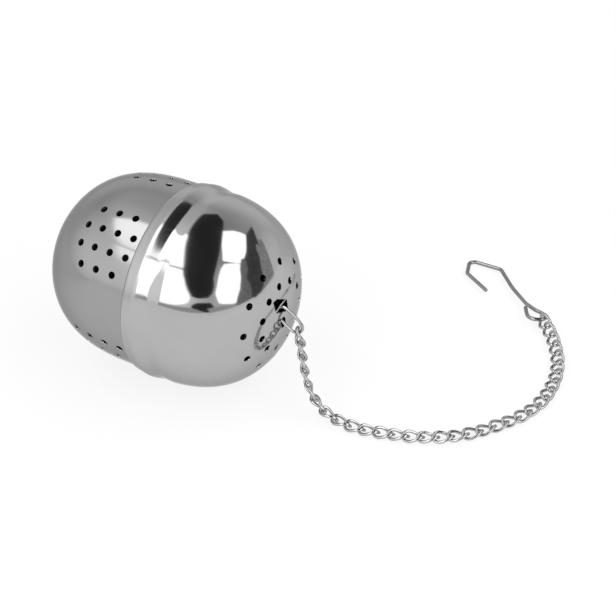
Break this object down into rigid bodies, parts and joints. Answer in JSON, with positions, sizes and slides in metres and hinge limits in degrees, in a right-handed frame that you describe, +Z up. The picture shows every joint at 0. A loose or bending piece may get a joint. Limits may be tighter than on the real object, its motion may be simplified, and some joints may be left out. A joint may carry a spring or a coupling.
{
  "type": "tea infuser",
  "caption": "Egg-shaped tea infuser in polished steel: perforated half-shells pushed together, a jump ring at the lid's tip, and a curb chain ending in a wire hook for a cup's rim.",
  "frame": {"origin": "on the table, under the middle of the bead round the lid's mouth", "axes": "+X along the egg's axis towards the lid's tip and the chain, +Z up from the table the infuser lies on"},
  "size_m": [0.1019, 0.0845, 0.0419],
  "materials": {
    "polished_steel": "mirror-polished pressed stainless steel sheet",
    "wire_steel": "bright drawn stainless steel wire"
  },
  "bodies": {
    "lid": {"lid_shell": "polished_steel"},
    "base": {"base_shell": "polished_steel"},
    "jump_ring": {"jump_ring": "wire_steel"},
    "link_01": {"link_01": "wire_steel"},
    "link_02": {"link_02": "wire_steel"},
    "link_03": {"link_03": "wire_steel"},
    "link_04": {"link_04": "wire_steel"},
    "link_05": {"link_05": "wire_steel"},
    "link_06": {"link_06": "wire_steel"},
    "link_07": {"link_07": "wire_steel"},
    "link_08": {"link_08": "wire_steel"},
    "link_09": {"link_09": "wire_steel"},
    "link_10": {"link_10": "wire_steel"},
    "link_11": {"link_11": "wire_steel"},
    "link_12": {"link_12": "wire_steel"},
    "link_13": {"link_13": "wire_steel"},
    "link_14": {"link_14": "wire_steel"},
    "link_15": {"link_15": "wire_steel"},
    "link_16": {"link_16": "wire_steel"},
    "link_17": {"link_17": "wire_steel"},
    "link_18": {"link_18": "wire_steel"},
    "link_19": {"link_19": "wire_steel"},
    "link_20": {"link_20": "wire_steel"},
    "link_21": {"link_21": "wire_steel"},
    "link_22": {"link_22": "wire_steel"},
    "link_23": {"link_23": "wire_steel"},
    "link_24": {"link_24": "wire_steel"},
    "link_25": {"link_25": "wire_steel"},
    "link_26": {"link_26": "wire_steel"},
    "link_27": {"link_27": "wire_steel"},
    "link_28": {"link_28": "wire_steel"},
    "link_29": {"link_29": "wire_steel"},
    "link_30": {"link_30": "wire_steel"},
    "link_31": {"link_31": "wire_steel"},
    "link_32": {"link_32": "wire_steel"},
    "hook": {"hook": "wire_steel"}
  },
  "joints": [
    {"name": "base_pull", "type": "slide", "parent": "lid", "child": "base", "axis": [-1, 0, 0], "range_m": [0, 0.04]},
    {"name": "ring_swing", "type": "hinge", "parent": "lid", "child": "jump_ring", "pos_m": [0.02355, -0.00032, 0.02178], "axis": [0.5036, -0.8383, 0.209], "range_deg": [-10, 15]},
    {"name": "link_01_swing", "type": "hinge", "parent": "jump_ring", "child": "link_01", "pos_m": [0.02645, 0.00052, 0.01817], "axis": [0.5534, 0.8295, 0.075], "range_deg": [-25, 25]},
    {"name": "link_02_swing", "type": "hinge", "parent": "link_01", "child": "link_02", "pos_m": [0.02722, 0.00027, 0.01521], "axis": [-0.7196, 0.6236, -0.3055], "range_deg": [-25, 25]},
    {"name": "link_03_swing", "type": "hinge", "parent": "link_02", "child": "link_03", "pos_m": [0.028, -0.00025, 0.01229], "axis": [-0.7021, -0.7085, -0.0711], "range_deg": [-25, 25]},
    {"name": "link_04_swing", "type": "hinge", "parent": "link_03", "child": "link_04", "pos_m": [0.0289, -0.00085, 0.00941], "axis": [0.5928, -0.7335, 0.3325], "range_deg": [-25, 25]},
    {"name": "link_05_swing", "type": "hinge", "parent": "link_04", "child": "link_05", "pos_m": [0.02997, -0.00127, 0.00657], "axis": [0.7123, 0.6002, 0.3638], "range_deg": [-25, 25]},
    {"name": "link_06_swing", "type": "hinge", "parent": "link_05", "child": "link_06", "pos_m": [0.03165, -0.00173, 0.00404], "axis": [-0.2124, 0.8507, -0.4809], "range_deg": [-25, 25]},
    {"name": "link_07_swing", "type": "hinge", "parent": "link_06", "child": "link_07", "pos_m": [0.03408, -0.00216, 0.00221], "axis": [-0.2964, -0.3629, -0.8834], "range_deg": [-25, 25]},
    {"name": "link_08_swing", "type": "hinge", "parent": "link_07", "child": "link_08", "pos_m": [0.03701, -0.00242, 0.00134], "axis": [0.0033, -0.9824, 0.1866], "range_deg": [-25, 25]},
    {"name": "link_09_swing", "type": "hinge", "parent": "link_08", "child": "link_09", "pos_m": [0.04007, -0.00246, 0.00104], "axis": [0.0386, 0.0132, 0.9992], "range_deg": [-25, 25]},
    {"name": "link_10_swing", "type": "hinge", "parent": "link_09", "child": "link_10", "pos_m": [0.04311, -0.00208, 0.00092], "axis": [-0.2483, 0.9662, -0.0692], "range_deg": [-25, 25]},
    {"name": "link_11_swing", "type": "hinge", "parent": "link_10", "child": "link_11", "pos_m": [0.04608, -0.00131, 0.00093], "axis": [-0.015, 0.0697, -0.9975], "range_deg": [-25, 25]},
    {"name": "link_12_swing", "type": "hinge", "parent": "link_11", "child": "link_12", "pos_m": [0.04901, -0.0004, 0.00095], "axis": [0.3348, -0.9397, 0.0698], "range_deg": [-25, 25]},
    {"name": "link_13_swing", "type": "hinge", "parent": "link_12", "child": "link_13", "pos_m": [0.0519, 0.00063, 0.00095], "axis": [0.029, -0.0635, 0.9976], "range_deg": [-25, 25]},
    {"name": "link_14_swing", "type": "hinge", "parent": "link_13", "child": "link_14", "pos_m": [0.0547, 0.0019, 0.00095], "axis": [-0.4977, 0.8646, -0.0698], "range_deg": [-25, 25]},
    {"name": "link_15_swing", "type": "hinge", "parent": "link_14", "child": "link_15", "pos_m": [0.05736, 0.00344, 0.00095], "axis": [-0.0409, 0.0565, -0.9976], "range_deg": [-25, 25]},
    {"name": "link_16_swing", "type": "hinge", "parent": "link_15", "child": "link_16", "pos_m": [0.05985, 0.00524, 0.00095], "axis": [0.6779, -0.7319, 0.0698], "range_deg": [-25, 25]},
    {"name": "link_17_swing", "type": "hinge", "parent": "link_16", "child": "link_17", "pos_m": [0.0621, 0.00732, 0.00095], "axis": [0.0531, -0.0452, 0.9976], "range_deg": [-25, 25]},
    {"name": "link_18_swing", "type": "hinge", "parent": "link_17", "child": "link_18", "pos_m": [0.06409, 0.00966, 0.00095], "axis": [-0.8367, 0.5432, -0.0698], "range_deg": [-25, 25]},
    {"name": "link_19_swing", "type": "hinge", "parent": "link_18", "child": "link_19", "pos_m": [0.06576, 0.01223, 0.00095], "axis": [-0.0594, 0.0366, -0.9976], "range_deg": [-25, 25]},
    {"name": "link_20_swing", "type": "hinge", "parent": "link_19", "child": "link_20", "pos_m": [0.06737, 0.01485, 0.00095], "axis": [0.8627, -0.5009, 0.0698], "range_deg": [-25, 25]},
    {"name": "link_21_swing", "type": "hinge", "parent": "link_20", "child": "link_21", "pos_m": [0.06891, 0.0175, 0.00095], "axis": [0.0656, -0.0232, 0.9976], "range_deg": [-25, 25]},
    {"name": "link_22_swing", "type": "hinge", "parent": "link_21", "child": "link_22", "pos_m": [0.06995, 0.02039, 0.00095], "axis": [-0.9712, 0.228, -0.0698], "range_deg": [-25, 25]},
    {"name": "link_23_swing", "type": "hinge", "parent": "link_22", "child": "link_23", "pos_m": [0.07065, 0.02338, 0.00095], "axis": [-0.0701, 0.0067, -0.9975], "range_deg": [-25, 25]},
    {"name": "link_24_swing", "type": "hinge", "parent": "link_23", "child": "link_24", "pos_m": [0.07086, 0.02644, 0.00096], "axis": [0.9978, 0.0667, -0.001], "range_deg": [-25, 25]},
    {"name": "link_25_swing", "type": "hinge", "parent": "link_24", "child": "link_25", "pos_m": [0.07065, 0.02951, 0.00097], "axis": [-0.0899, -0.0203, 0.9957], "range_deg": [-25, 25]},
    {"name": "link_26_swing", "type": "hinge", "parent": "link_25", "child": "link_26", "pos_m": [0.07017, 0.03254, 0.00098], "axis": [-0.9468, -0.2638, -0.1843], "range_deg": [-25, 25]},
    {"name": "link_27_swing", "type": "hinge", "parent": "link_26", "child": "link_27", "pos_m": [0.06935, 0.03549, 0.00101], "axis": [0.2503, 0.1121, -0.9617], "range_deg": [-25, 25]},
    {"name": "link_28_swing", "type": "hinge", "parent": "link_27", "child": "link_28", "pos_m": [0.06825, 0.03836, 0.00106], "axis": [0.8109, 0.46, 0.3616], "range_deg": [-25, 25]},
    {"name": "link_29_swing", "type": "hinge", "parent": "link_28", "child": "link_29", "pos_m": [0.0667, 0.04101, 0.00117], "axis": [-0.3456, -0.2871, 0.8934], "range_deg": [-25, 25]},
    {"name": "link_30_swing", "type": "hinge", "parent": "link_29", "child": "link_30", "pos_m": [0.06498, 0.04355, 0.00132], "axis": [-0.6837, -0.502, -0.5296], "range_deg": [-25, 25]},
    {"name": "link_31_swing", "type": "hinge", "parent": "link_30", "child": "link_31", "pos_m": [0.06309, 0.04596, 0.00148], "axis": [0.407, 0.4565, -0.7912], "range_deg": [-25, 25]},
    {"name": "link_32_swing", "type": "hinge", "parent": "link_31", "child": "link_32", "pos_m": [0.0609, 0.04811, 0.00159], "axis": [0.5329, 0.5009, 0.682], "range_deg": [-25, 25]},
    {"name": "hook_swing", "type": "hinge", "parent": "link_32", "child": "hook", "pos_m": [0.05877, 0.05032, 0.00162], "axis": [-0.0302, 0.0264, 0.9992], "range_deg": [-25, 25]}
  ]
}
